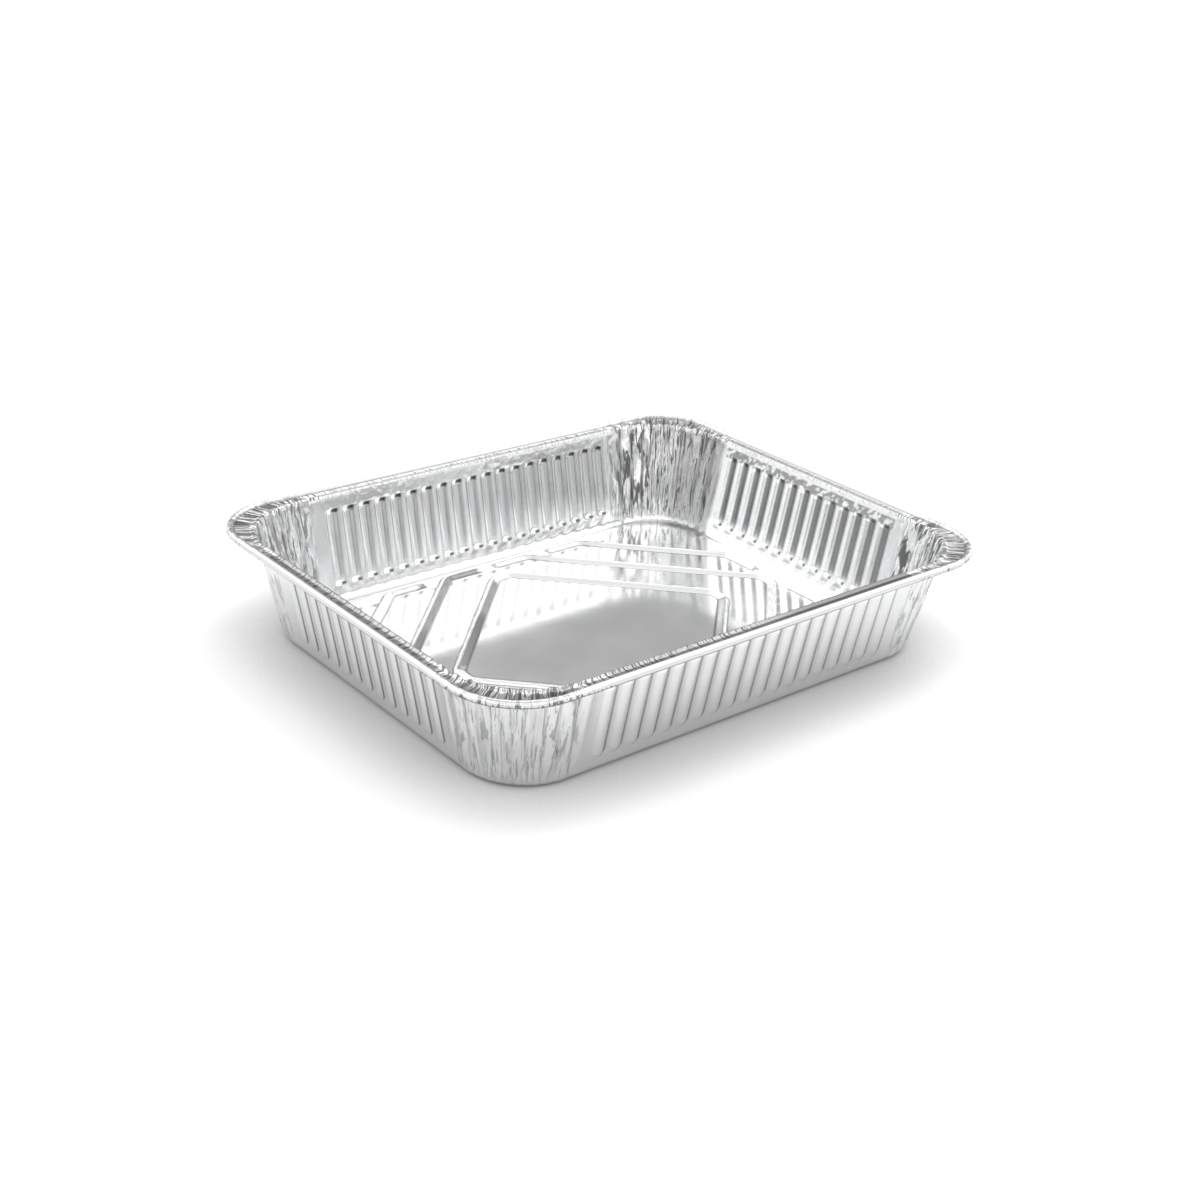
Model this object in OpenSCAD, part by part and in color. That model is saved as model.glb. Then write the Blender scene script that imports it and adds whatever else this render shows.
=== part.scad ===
// Foil roasting pan: one pressed sheet with fluted walls, gathered corners,
// a rolled rim and a floor stiffened with raised beads.
// Long side along X, short side along Y, standing on z = 0, millimetres.

/* [Overall size] */
// Length over the rolled rim
length = 324; // [300:1:420]
// Width over the rolled rim
width = 263.5; // [220:0.5:280]
// Height from the table to the top of the rolled rim
height = 59.5; // [45:0.5:80]
// Thickness of the foil
foil = 0.11; // [0.08:0.01:0.3]

/* [Rim] */
// Outer corner radius of the rim
rim_radius = 38; // [32:0.5:46]
// Diameter of the rolled edge
curl_diameter = 4; // [3:0.1:6]
// Width of the rim from its outer edge to the wall
rim_width = 10.4; // [8:0.1:14]
// Drop of the flat of the rim below the top of the rolled edge
flange_drop = 1.8; // [1:0.1:2.5]
// Fall of the flat of the rim from the rolled edge toward the wall
flange_fall = 0.35; // [0:0.05:1]
// Height of the small shoulder between the flat of the rim and the wall
shoulder_rise = 0.6; // [0.2:0.1:1.2]

/* [Walls] */
// Distance from the outer edge of the rim to the foot of the wall
foot_inset = 22; // [16:0.5:32]
// Corner radius at the top of the wall
top_radius = 41; // [28:0.5:50]
// Corner radius at the foot of the wall
foot_radius = 33; // [22:0.5:45]
// Radius between the wall and the floor
floor_radius = 5; // [3:0.25:8]

/* [Flutes] */
// Distance from one flute to the next
flute_pitch = 10.15; // [9:0.05:14]
// Width of a flute at the wall
flute_width = 6.7; // [5:0.1:8]
// Width of the flat crown of a flute
crown_width = 2.8; // [2:0.1:4.5]
// Depth a flute is pressed outward
flute_depth = 1.3; // [0.6:0.1:2]
// Distance from the rim top to the upper end of the flutes
flute_top = 9; // [7:0.5:14]
// Distance from the table to the lower end of the flutes
flute_foot = 8.5; // [7:0.5:14]
// Length of the sloping end of a flute
flute_end = 2.6; // [1.5:0.1:4]

/* [Corner gathers] */
// Folds in each gathered corner
gathers = 12; // [6:1:14]
// Depth of the gathers in the wall
gather_depth = 0.95; // [0.3:0.05:1.4]
// Plain wall left between the last flute and the gathers
gather_gap = 3.2; // [2:0.1:6]
// How far the gathers run out along the straight walls at the foot
gather_run = 13; // [10:0.5:18]

/* [Floor beads] */
// Middle diamond as a share of the floor between the outer ribs
diamond_share = 0.905; // [0.75:0.005:0.93]
// Distance from the outer ribs to the foot of the wall
bead_margin = 8.5; // [7:0.5:14]
// Width of a bead at the floor
bead_width = 6; // [4:0.25:8]
// Width of the crown of a bead
bead_crown = 2.6; // [1:0.2:3.4]
// Height of a bead
bead_height = 1.5; // [0.8:0.1:2.5]

/* [Hidden] */
silver = [0.82, 0.83, 0.84];

rc = (curl_diameter - foil) / 2;
nseg = 2 * gathers;
ncol = 4 * (nseg + 1);

// lean of the wall: run and rise between its foot and its top
wall_h = height - flange_drop;
wall_run = foot_inset - rim_width;
lean = atan(wall_run / wall_h);
function wall_inset(z) = foot_inset - wall_run * z / wall_h;

// fillet between wall and floor
turn = 90 - lean;
reach = floor_radius * tan(turn / 2);

// foot of the wall, half sizes
foot_x = length / 2 - foot_inset;
foot_y = width / 2 - foot_inset;

// flutes on each wall, always an odd number about the middle
function half_count(h) = floor((h - foot_radius - gather_run) / flute_pitch);
kx = half_count(foot_x);
ky = half_count(foot_y);
// where the gathered corner starts on the long and the short walls
start_x = kx * flute_pitch + flute_width / 2 + gather_gap;
start_y = ky * flute_pitch + flute_width / 2 + gather_gap;

z_foot = flute_foot;
z_top = height - flute_top;

// Profile of the sheet from the floor out to the free edge of the roll:
// [inset, height, normal angle, corner radius, gather share]
function fillet(a) = [foot_inset + reach - floor_radius * sin(a),
                      foil / 2 + floor_radius * (1 - cos(a)), 90 + a,
                      foot_radius - reach + floor_radius * sin(a), 0.35 * a / turn];
function wall_row(z, share) = [wall_inset(z), z, 180 - lean,
                               foot_radius + (top_radius - foot_radius) * z / wall_h, share];
function roll(a, share) = [curl_diameter / 2 + rc * cos(a), height - curl_diameter / 2 + rc * sin(a),
                           180 - a, rim_radius - curl_diameter / 2 - rc * cos(a), share];
flange_z = height - flange_drop;
fillet_rows = [for (f = [0, 0.5, 1]) fillet(turn * f)];
wall_rows = [
    wall_row(z_foot, 0.6),
    wall_row(z_foot + (z_top - z_foot) * 0.36, 1),
    wall_row(z_foot + (z_top - z_foot) * 0.68, 1),
    wall_row(z_top, 0.95)
];
rim_rows = [
    wall_row(flange_z - 2.4, 0.9),
    [rim_width, flange_z - 0.1, 150, top_radius, 0.8],
    [rim_width - 1.2, flange_z + shoulder_rise, 95, top_radius, 0.65],
    [rim_width - 2.5, flange_z - flange_fall, 80, top_radius, 0.6],
    [curl_diameter + 0.4, flange_z, 105, rim_radius - curl_diameter - 0.4, 0.4]
];
roll_share = [0.22, 0.2, 0.2, 0.2, 0.15, 0.1, 0.05];
roll_rows = [for (k = [0:len(roll_share) - 1]) roll(45 * (k + 1), roll_share[k])];
profile = concat(fillet_rows, wall_rows, rim_rows, roll_rows);
nrow = len(profile);
// first row of the flutes, last row of the flutes, last row before the roll
row_foot = len(fillet_rows);
row_top = row_foot + len(wall_rows) - 1;
row_roll = nrow - len(roll_rows) - 1;

// repeatable scatter between 0 and 1
function scatter(i, j) = let (s = sin(i * 127.1 + j * 311.7) * 437.585) s - floor(s);

// point and outward direction on a corner path: straight, arc, straight
function on_corner(s, hx, hy, r) =
    let (a = hx - r - start_x, b = r * PI / 2)
    s < a ? [[start_x + s, hy], [0, 1]] :
    s < a + b ? let (t = 90 - (s - a) / r * 180 / PI)
        [[hx - r + r * cos(t), hy - r + r * sin(t)], [cos(t), sin(t)]] :
    [[hx, hy - r - (s - a - b)], [1, 0]];
function corner_length(hx, hy, r) = (hx - r - start_x) + r * PI / 2 + (hy - r - start_y);

// share of the way round a corner for fold line i on profile row j
function fold_at(i, j) =
    i == 0 ? 0 : i == nseg ? 1 :
    let (f = (i + 0.5 * (scatter(i, 7) - 0.5) + 0.35 * (scatter(i, 40 + j) - 0.5)) / nseg)
    f + 0.055 * sin(360 * f);
// how far fold line i stands out of the smooth surface on profile row j
function fold_out(i, j) =
    (i == 0 || i == nseg) ? 0 :
    (i % 2 == 1 ? 1 : j > row_roll ? 0 : -1) * gather_depth * profile[j][4]
    * (0.4 + 0.6 * scatter(i, 3 + j)) * min(1, min(i, nseg - i) / 2);

// corners go round in the order +x+y, +x-y, -x-y, -x+y, clockwise from above
signs = [[1, 1], [1, -1], [-1, -1], [-1, 1]];
function corner_point(q, i, j, side) =
    let (
        p = profile[j],
        ii = (q % 2 == 0) ? i : nseg - i,
        hx = length / 2 - p[0], hy = width / 2 - p[0],
        c = on_corner(fold_at(ii, j) * corner_length(hx, hy, p[3]), hx, hy, p[3]),
        d = fold_out(ii, j) + side * foil / 2,
        sx = signs[q][0], sy = signs[q][1],
        nx = -cos(p[2]), nz = sin(p[2])
    )
    [sx * (c[0][0] + c[1][0] * nx * d), sy * (c[0][1] + c[1][1] * nx * d), p[1] - nz * d];

// straight walls: wall w runs from corner w to corner w + 1
// 0: +x wall, 1: -y wall, 2: -x wall, 3: +y wall
function wall_count(w) = w % 2 == 0 ? ky : kx;
function wall_points(w, t, z, out, side) =
    let (
        i = wall_inset(z), d = out + side * foil / 2,
        hx = length / 2 - i, hy = width / 2 - i,
        o = d * cos(lean), zz = z - d * sin(lean)
    )
    w == 0 ? [hx + o, -t, zz] : w == 1 ? [-t, -hy - o, zz] :
    w == 2 ? [-hx - o, t, zz] : [t, hy + o, zz];

// the ten points of one flute: four on the wall, six on the crown
per_flute = 10;
function flute_points(w, t, side) =
    let (a = flute_width / 2, b = crown_width / 2, e = flute_end)
    [
        wall_points(w, t - a, z_foot, 0, side),
        wall_points(w, t + a, z_foot, 0, side),
        wall_points(w, t + a, z_top, 0, side),
        wall_points(w, t - a, z_top, 0, side),
        wall_points(w, t - b, z_foot + e, flute_depth, side),
        wall_points(w, t, z_foot + e * 0.55, flute_depth * 0.8, side),
        wall_points(w, t + b, z_foot + e, flute_depth, side),
        wall_points(w, t + b, z_top - e, flute_depth, side),
        wall_points(w, t, z_top - e * 0.55, flute_depth * 0.8, side),
        wall_points(w, t - b, z_top - e, flute_depth, side)
    ];

// all points of one face of the sheet; side is 1 outside and below, -1 inside
function layer_points(side) = concat(
    [for (j = [0:nrow - 1]) for (q = [0:3]) for (i = [0:nseg]) corner_point(q, i, j, side)],
    [for (w = [0:3]) for (k = [-wall_count(w):wall_count(w)])
        each flute_points(w, k * flute_pitch, side)]
);
n_rings = nrow * ncol;
function wall_base(w) = n_rings
    + per_flute * (w == 0 ? 0 : w == 1 ? 2 * ky + 1 : w == 2 ? 2 * ky + 2 * kx + 2
                   : 4 * ky + 2 * kx + 3);
layer_size = n_rings + per_flute * (4 * ky + 4 * kx + 4);

// index of column i of corner q on row j
function at(j, q, i) = j * ncol + (q % 4) * (nseg + 1) + i;
function quad(a, b, c, d) = [[a, b, c], [a, c, d]];

// every corner strip and the plain straight strips
corner_faces = [for (j = [0:nrow - 2]) for (q = [0:3]) for (i = [0:nseg - 1])
    each quad(at(j, q, i), at(j, q, i + 1), at(j + 1, q, i + 1), at(j + 1, q, i))];
plain_rows = [for (j = [0:nrow - 2]) if (j < row_foot - 1 || j > row_top) j];
straight_faces = [for (j = plain_rows) for (q = [0:3])
    each quad(at(j, q, nseg), at(j, q + 1, 0), at(j + 1, q + 1, 0), at(j + 1, q, nseg))];

// flutes, and the plain wall between and beside them
function flute_faces(b) = concat(
    [[b, b + 1, b + 5], [b, b + 5, b + 4], [b + 1, b + 6, b + 5], [b + 4, b + 5, b + 6]],
    [[b + 2, b + 3, b + 8], [b + 8, b + 3, b + 9], [b + 2, b + 8, b + 7], [b + 7, b + 8, b + 9]],
    quad(b, b + 4, b + 9, b + 3),
    quad(b + 1, b + 2, b + 7, b + 6),
    quad(b + 4, b + 6, b + 7, b + 9)
);
// the row of points along the foot (e = 0) or the top (e = 1) of the flutes
function chain(w, e) = let (n = 2 * wall_count(w) + 1, j = e == 0 ? row_foot : row_top) concat(
    [at(j, w, nseg)],
    [for (k = [0:n - 1]) each [wall_base(w) + k * per_flute + (e == 0 ? 0 : 3),
                               wall_base(w) + k * per_flute + (e == 0 ? 1 : 2)]],
    [at(j, w + 1, 0)]);
function fan_strip(c, p, q, flip) = let (m = floor((len(c) - 1) / 2)) concat(
    [for (i = [0:m - 1]) flip ? [p, c[i + 1], c[i]] : [p, c[i], c[i + 1]]],
    [flip ? [p, q, c[m]] : [p, c[m], q]],
    [for (i = [m:len(c) - 2]) flip ? [q, c[i + 1], c[i]] : [q, c[i], c[i + 1]]]);
function wall_faces(w) =
    let (
        n = 2 * wall_count(w) + 1, b0 = wall_base(w), b1 = b0 + (n - 1) * per_flute,
        l = [for (j = [row_foot:row_top]) at(j, w, nseg)],
        r = [for (j = [row_foot:row_top]) at(j, w + 1, 0)]
    )
    concat(
        [for (k = [0:n - 1]) each flute_faces(b0 + k * per_flute)],
        [for (k = [0:n - 2]) let (b = b0 + k * per_flute, c = b + per_flute)
            each quad(b + 1, c, c + 3, b + 2)],
        [[l[0], b0, l[1]], [l[1], b0, b0 + 3], [l[1], b0 + 3, l[2]], [l[2], b0 + 3, l[3]]],
        [[b1 + 1, r[0], r[1]], [b1 + 1, r[1], b1 + 2], [b1 + 2, r[1], r[2]], [b1 + 2, r[2], r[3]]],
        fan_strip(chain(w, 0), at(row_foot - 1, w, nseg), at(row_foot - 1, w + 1, 0), true),
        fan_strip(chain(w, 1), at(row_top + 1, w, nseg), at(row_top + 1, w + 1, 0), false)
    );
layer_faces = concat(corner_faces, straight_faces,
                     [for (w = [0:3]) each wall_faces(w)]);

// the two faces of the sheet are closed along the free edge of the roll
rim_edge = [for (k = [0:ncol - 1]) let (a = (nrow - 1) * ncol + k,
        b = (nrow - 1) * ncol + (k + 1) % ncol)
    each [[a, b, b + layer_size], [a, b + layer_size, a + layer_size]]];
floor_ring = [for (k = [0:ncol - 1]) k];
function back(f) = [f[2], f[1], f[0]];

module sheet() {
    polyhedron(
        points = concat(layer_points(1), layer_points(-1)),
        faces = concat(
            layer_faces,
            [for (f = layer_faces) back(f) + [layer_size, layer_size, layer_size]],
            rim_edge,
            [[for (k = [ncol - 1:-1:0]) k]],
            [[for (k = [0:ncol - 1]) k + layer_size]]
        ),
        convexity = 10);
}

// Section of a bead at point k of a line: two points on the floor, two on the crown,
// mitred between the two straight runs that meet there
function unit(v) = v / norm(v);
function left(v) = [-v[1], v[0]];
function mitre(pts, k, closed) =
    let (
        n = len(pts),
        a = (k > 0 || closed) ? left(unit(pts[k] - pts[(k + n - 1) % n])) : left(unit(pts[1] - pts[0])),
        b = (k < n - 1 || closed) ? left(unit(pts[(k + 1) % n] - pts[k])) : a
    )
    (a + b) / (1 + a * b);
function section(p, m, wide, crown, rise) = [
    [p[0] + m[0] * wide / 2, p[1] + m[1] * wide / 2, foil / 2],
    [p[0] - m[0] * wide / 2, p[1] - m[1] * wide / 2, foil / 2],
    [p[0] - m[0] * crown / 2, p[1] - m[1] * crown / 2, foil + rise],
    [p[0] + m[0] * crown / 2, p[1] + m[1] * crown / 2, foil + rise]];
// one run of a bead with mitred corners, open or closed
module bead_line(pts, closed = false) {
    n = len(pts);
    s = [for (k = [0:n - 1]) section(pts[k], mitre(pts, k, closed), bead_width, bead_crown, bead_height)];
    last = 4 * (n - 1);
    polyhedron(
        points = [for (c = s) each c],
        faces = concat(
            [for (k = [0:closed ? n - 1 : n - 2]) for (i = [0:3])
                let (a = 4 * k, b = 4 * ((k + 1) % n), j = (i + 1) % 4)
                each quad(a + i, a + j, b + j, b + i)],
            closed ? [] : [[3, 2, 1, 0], [last, last + 1, last + 2, last + 3]]),
        convexity = 6);
    if (!closed) for (e = [0, n - 1])
        bead_end(s[e], pts[e] + unit(pts[e] - pts[e == 0 ? 1 : n - 2]) * bead_width * 0.5, mitre(pts, e, false));
}
// an end of a bead falls to the floor and narrows
module bead_end(s, tip, m) {
    hull() polyhedron(
        points = concat(s, section(tip, m, bead_width * 0.45, bead_crown * 0.5, 0)),
        faces = [[0, 1, 2, 3], [7, 6, 5, 4], [0, 4, 5, 1], [1, 5, 6, 2], [2, 6, 7, 3], [3, 7, 4, 0]]);
}

// The pattern: a diamond, the ribs of a wider diamond cut off short of the
// long walls, and a rib across each corner, turned in along the walls
far_x = foot_x - bead_margin - 2;
far_y = foot_y - bead_margin;
soft = 5;
gap = 6;
diamond = diamond_share * far_y;
mid = far_x;
bead_step = mid - diamond;
outer = mid + bead_step;
turned = min(23, bead_step - 16);
function diamond_points(r, c) = [
    [c, r - c], [r - c, c], [r - c, -c], [c, c - r], [-c, c - r], [c - r, -c], [c - r, c], [-c, r - c]];
module beads() {
    bead_line(diamond_points(diamond, soft), true);
    for (sx = [-1, 1]) {
        bead_line([[sx * gap, far_y], [sx * (mid - far_y), far_y], [sx * (mid - soft), soft],
                   [sx * (mid - soft), -soft], [sx * (mid - far_y), -far_y], [sx * gap, -far_y]]);
        for (sy = [-1, 1])
            bead_line([[sx * (outer - far_y - turned), sy * far_y], [sx * (outer - far_y), sy * far_y],
                       [sx * far_x, sy * (outer - far_x)], [sx * far_x, sy * (outer - far_x - turned)]]);
    }
}

module pan() {
    color(silver) difference() {
        union() {
            sheet();
            beads();
        }
        translate([0, 0, -foil]) beads();
    }
}

pan();
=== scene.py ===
import math

import bpy
import numpy as np
from mathutils import Matrix, Vector, noise
from mathutils.geometry import delaunay_2d_cdt


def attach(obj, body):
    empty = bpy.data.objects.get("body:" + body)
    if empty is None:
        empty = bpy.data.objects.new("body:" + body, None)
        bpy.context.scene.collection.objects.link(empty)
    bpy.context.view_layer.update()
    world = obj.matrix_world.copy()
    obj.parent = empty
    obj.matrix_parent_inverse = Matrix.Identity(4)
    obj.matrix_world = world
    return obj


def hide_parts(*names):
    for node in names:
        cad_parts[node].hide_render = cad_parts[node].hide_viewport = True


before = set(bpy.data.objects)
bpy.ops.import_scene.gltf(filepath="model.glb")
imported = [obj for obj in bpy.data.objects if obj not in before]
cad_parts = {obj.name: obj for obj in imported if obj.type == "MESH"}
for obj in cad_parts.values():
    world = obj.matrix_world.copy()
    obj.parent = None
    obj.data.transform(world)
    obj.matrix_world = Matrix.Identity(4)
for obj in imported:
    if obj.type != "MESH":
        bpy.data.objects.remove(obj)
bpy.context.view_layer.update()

# Sizes of the pan, in mm and degrees, as in its solid
MM = 0.001
LENGTH, WIDTH, HEIGHT = 324.0, 263.5, 59.5
FOIL = 0.11
RIM_RADIUS, CURL, RIM_WIDTH = 38.0, 4.0, 10.4
FLANGE_Z = HEIGHT - 1.8
FOOT_INSET, TOP_RADIUS, FOOT_RADIUS, FLOOR_RADIUS = 22.0, 41.0, 33.0, 5.0
PITCH, FLUTE_WIDTH, FLUTE_DEPTH = 10.15, 6.7, 1.3
Z_FOOT, Z_TOP = 8.5, HEIGHT - 9.0
GATHERS, GATHER_DEPTH, GATHER_GAP, GATHER_RUN = 12, 0.95, 3.2, 13.0
BEAD_MARGIN, BEAD_WIDTH, BEAD_HEIGHT = 8.5, 6.0, 1.5
DIAMOND_SHARE = 0.905

# What follows from them
FACET_SLACK = 0.004  # keeps the round roll inside the solid's flats
RC = (CURL - FOIL) / 2 - FACET_SLACK
WALL_RUN = FOOT_INSET - RIM_WIDTH
LEAN = math.degrees(math.atan(WALL_RUN / FLANGE_Z))
TURN = 90 - LEAN
REACH = FLOOR_RADIUS * math.tan(math.radians(TURN / 2))
FOOT_X, FOOT_Y = LENGTH / 2 - FOOT_INSET, WIDTH / 2 - FOOT_INSET
KX = int((FOOT_X - FOOT_RADIUS - GATHER_RUN) // PITCH)
KY = int((FOOT_Y - FOOT_RADIUS - GATHER_RUN) // PITCH)
START_X = KX * PITCH + FLUTE_WIDTH / 2 + GATHER_GAP
START_Y = KY * PITCH + FLUTE_WIDTH / 2 + GATHER_GAP

# Walls and corners in turn, clockwise from above: wall +x follows corner +x +y
CORNER_SIGNS = [(1, 1), (1, -1), (-1, -1), (-1, 1)]
WALL_NORMALS = [(1, 0), (0, -1), (-1, 0), (0, 1)]
COUNTS = (KY, KX, KY, KX)  # flutes on either side of a wall's middle
HALVES = (START_Y, START_X, START_Y, START_X)  # half of a wall's straight run

# Columns of the sheet
NSEG = 2 * GATHERS
SUB = 5
COLS = SUB * NSEG
CORNER_WAY = 93.0  # length round a corner, about
WALL_END = 5.0  # from a wall's last flute to its last column
FLUTE_OFFSETS = (-3.65, -3.35, -3.05, -2.6, -2.0, -1.2, 0.0, 1.2, 2.0, 2.6, 3.05, 3.35, 3.65)
BEAD_OFFSETS = (-5.2, -4.3, -3.6, -3.1, -2.6, -1.8, -0.8, 0.3, 0.9, 1.3, 1.5, 1.9, 2.3, 2.7, 3.0, 3.4,
                3.9, 4.3, 5.2)
FLOOR_GRID = 8.0
FLOOR_Z = FOIL / 2 + 0.0001  # a hair up, so that the outer face stays in the solid's box

# Light: brightness of the room by degrees above the horizon, and of the grey card on its side +x +y
ROOM = [(0, 1.0), (6, 1.05), (10, 1.23), (18, 1.32), (34, 1.41), (40, 1.67), (52, 1.67), (62, 0.88),
        (90, 0.75)]
CARD = [(0, 1.0), (5, 0.85), (7, 0.39), (24, 0.39), (29.3, 0.4), (31.2, 1.19), (34, 1.32), (52, 1.5),
        (62, 0.88), (90, 0.75)]
CARD_TOWARD, CARD_EDGE = (0.58, 0.81), (0.80, 0.86)
TABLE_RADIUS, TABLE_DROP, TABLE_GLOW = 9.0, 0.00002, 0.12

# Camera: degrees round, up and rolled, and its place in mm: back, right and up
AZIMUTH, ELEVATION, ROLL = -40.16, 25.15, 2.83
CAMERA_PLACE, LENS = (914.5, 0.21, 17.95), 51.49

# The rest of the looks, by wall or by corner, mostly painted shade. Painted shade band of a flute inside:
# from, to, how dark
FLUTE_SHADE_BANDS = [(-1.9, 4.3, 0.98), (-1.0, 3.8, 0.6), (-1.0, 3.8, 0.6), (0.7, 4.6, 0.5)]
# painted shade of the crumpled strip over the flutes, by wall, then of the scallops at the wall's foot
STRIP_PAINTED_SHADE = (0.8, 0.5, 0.5, 0.2)
SCALLOP_PAINTED_SHADE = (0.6, 0.3, 0.3, 0.4)
# flat of the rim: how dark its painted shade is all over, and how strongly cross marked
FLAT_SHADE_AND_CROSS_MARKS = [(0.42, 0.5), (0.6, 1.0), (0.6, 1.0), (0.12, 0.55)]
# a corner's flat: its painted shade, then how strongly cross marks and fine creases darken it as painted
# shade
CORNER_FLAT_PAINTED_SHADE = 0.15
CORNER_MARKS = (0.7, 0.8, 0.9, 1.0)
CORNER_CREASES = (1, 1, 1, 0.8)
# the outer face is darker all over by this much, and its fine creases darken it this strongly with painted
# shade
OUTSIDE_DARKENING, OUTSIDE_CREASES = 0.2, 0.6
FRONT_FALL, MEAN_FALL, BACK_FALL = 0.18, 0.35, 0.42


def sind(a):
    """Sine of degrees."""
    return math.sin(math.radians(a))


def cosd(a):
    """Cosine of degrees."""
    return math.cos(math.radians(a))


def mix(a, b, f):
    """From a to b by the share f."""
    return a + (b - a) * f


def smooth(f):
    """0 below 0, 1 above 1, and an S between them."""
    f = min(1.0, max(0.0, f))
    return f * f * (3 - 2 * f)


def wall_inset(z):
    """How far inside the rim's outline the wall is at height z."""
    return FOOT_INSET - WALL_RUN * z / FLANGE_Z


# Rows are numbered along the sheet: 0..2 the turn out of the floor, 3..7 the
# wall, 8..11 shoulder and flat of the rim, 12..18 the roll.
WALL_Z = {3: Z_FOOT, 4: Z_FOOT + (Z_TOP - Z_FOOT) * 0.36, 5: Z_FOOT + (Z_TOP - Z_FOOT) * 0.68,
          6: Z_TOP, 7: FLANGE_Z - 2.4}
# row, inset, height, share of the fall of the flat
RIM_LINE = [(7.0, wall_inset(55.3), 55.3, 0), (7.5, wall_inset(56.7), 56.7, 0), (8.0, 10.3, 57.6, 0),
            (8.5, 9.9, 58.1, 0), (9.0, 9.25, 58.3, 0), (9.4, 8.65, 58.15, 0.3), (9.7, 8.2, 57.85, 0.7),
            (10.0, 7.75, 57.7, 0.96), (10.35, 6.9, 57.7, 0.71), (10.7, 5.8, 57.7, 0.4),
            (11.0, 4.75, 57.7, 0.1), (11.35, 4.27, 57.85, 0), (11.7, 3.92, 58.2, 0),
            (12.0, 2 + RC * cosd(45), 57.5 + RC * sind(45), 0)]
# share of the gathers' depth on every row
SHARE = [0, 0.175, 0.35, 0.6, 1, 1, 0.95, 0.9, 0.8, 0.65, 0.6, 0.4, 0.22, 0.2, 0.2, 0.2, 0.15, 0.1, 0.05]


def profile(u, fall=MEAN_FALL):
    """Inset and height of the sheet at row number u."""
    if u <= 2:
        a = TURN * u / 2
        return FOOT_INSET + REACH - FLOOR_RADIUS * sind(a), FOIL / 2 + FLOOR_RADIUS * (1 - cosd(a))
    if u <= 7:
        j = min(6, int(u))
        lo = FOIL / 2 + FLOOR_RADIUS * (1 - cosd(TURN)) if j == 2 else WALL_Z[j]
        z = mix(lo, WALL_Z[j + 1], u - j)
        return wall_inset(z), z
    if u < 12:
        k = max(i for i in range(len(RIM_LINE) - 1) if RIM_LINE[i][0] <= u)
        a, b = RIM_LINE[k], RIM_LINE[k + 1]
        f = (u - a[0]) / (b[0] - a[0])
        return mix(a[1], b[1], f), mix(a[2], b[2], f) - fall * mix(a[3], b[3], f)
    a = 45 * (u - 11)
    return CURL / 2 + RC * cosd(a), HEIGHT - CURL / 2 + RC * sind(a)


def fall_toward(nx, ny):
    """The flat of the rim is a little steeper on the sides away from the corner -x -y."""
    return mix(FRONT_FALL, BACK_FALL, smooth((nx * 0.645 + ny * 0.764 + 0.6) / 1.2))


def corner_radius(u):
    """Radius of the corners at row number u."""
    inset, z = profile(u)
    if u <= 2:
        return FOOT_RADIUS - REACH + FLOOR_RADIUS * sind(TURN * u / 2)
    if u <= 7:
        return mix(FOOT_RADIUS, TOP_RADIUS, z / FLANGE_Z)
    if u <= 11:
        return mix(TOP_RADIUS, RIM_RADIUS - CURL - 0.4, max(0, u - 10))
    return RIM_RADIUS - inset


def wall_u(z):
    """Row number of a height on the wall."""
    for j in range(3, 7):
        if z <= WALL_Z[j + 1]:
            return j + (z - WALL_Z[j]) / (WALL_Z[j + 1] - WALL_Z[j])
    return 7.0


# heights of the wall's rows, then every row of the sheet
WALL_ROWS = (8.5, 9.1, 9.8, 10.6, 11.4, 12.2, 14, 17.5, 21, 24.5, 28, 31.5, 35, 38.5, 42, 44.6, 46.2,
             47.15, 47.95, 48.7, 49.4, 50.0, 50.5, 51.0, 51.8, 52.8, 53.8, 54.6)
ROWS = ([0, 0.3, 0.6, 0.9, 1.2, 1.5, 1.75, 2.0, 2.35, 2.65, 2.87]
        + [wall_u(z) for z in WALL_ROWS]
        + [7.0, 7.5, 8.0, 8.5, 9.0, 9.4, 9.7, 10.0, 10.35, 10.7, 11.0, 11.35, 11.7]
        + [12 + 6 * k / 11 for k in range(12)])


def out_direction(u):
    """Unit vector (outward, up) that stands out of the pan's outer face at row u."""
    e = 0.05
    (i0, z0), (i1, z1) = profile(max(0, u - e)), profile(min(18, u + e))
    dx, dz = -(i1 - i0), z1 - z0
    n = math.hypot(dx, dz)
    return dz / n, -dx / n


def scatter(i, j):
    """The same number between 0 and 1 for the same i and j, and no pattern from one to the next."""
    s = sind(i * 127.1 + j * 311.7) * 437.585
    return s - math.floor(s)


def fold_at(i, j):
    """Share of the way round a corner for fold line i on row j."""
    if i == 0 or i == NSEG:
        return i / NSEG
    f = (i + 0.5 * (scatter(i, 7) - 0.5) + 0.35 * (scatter(i, 40 + j) - 0.5)) / NSEG
    return f + 0.055 * sind(360 * f)


def fold_out(i, j):
    """How far fold line i stands out of the smooth corner on row j."""
    if i == 0 or i == NSEG:
        return 0.0
    side = 1 if i % 2 else (0 if j > 11 else -1)
    return (side * GATHER_DEPTH * SHARE[j] * (0.4 + 0.6 * scatter(i, 3 + j))
            * min(1, min(i, NSEG - i) / 2))


def between_rows(f, i, u):
    """What f says of fold line i at row number u, also between two rows."""
    j = min(17, int(u))
    return mix(f(i, j), f(i, j + 1), smooth(u - j))


def on_corner(s, hx, hy, r):
    """Point and outward direction on the way round a corner."""
    a, b = hx - r - START_X, r * math.pi / 2
    if s < a:
        return (START_X + s, hy), (0.0, 1.0)
    if s < a + b:
        t = math.pi / 2 - (s - a) / r
        return (hx - r + r * math.cos(t), hy - r + r * math.sin(t)), (math.cos(t), math.sin(t))
    return (hx, hy - r - (s - a - b)), (1.0, 0.0)


def ridged(x, y, seed):
    """Noise with sharp ridges, -1 to 1."""
    return 1 - 2 * abs(noise.noise(Vector((x, y, seed * 7.31))))


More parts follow.
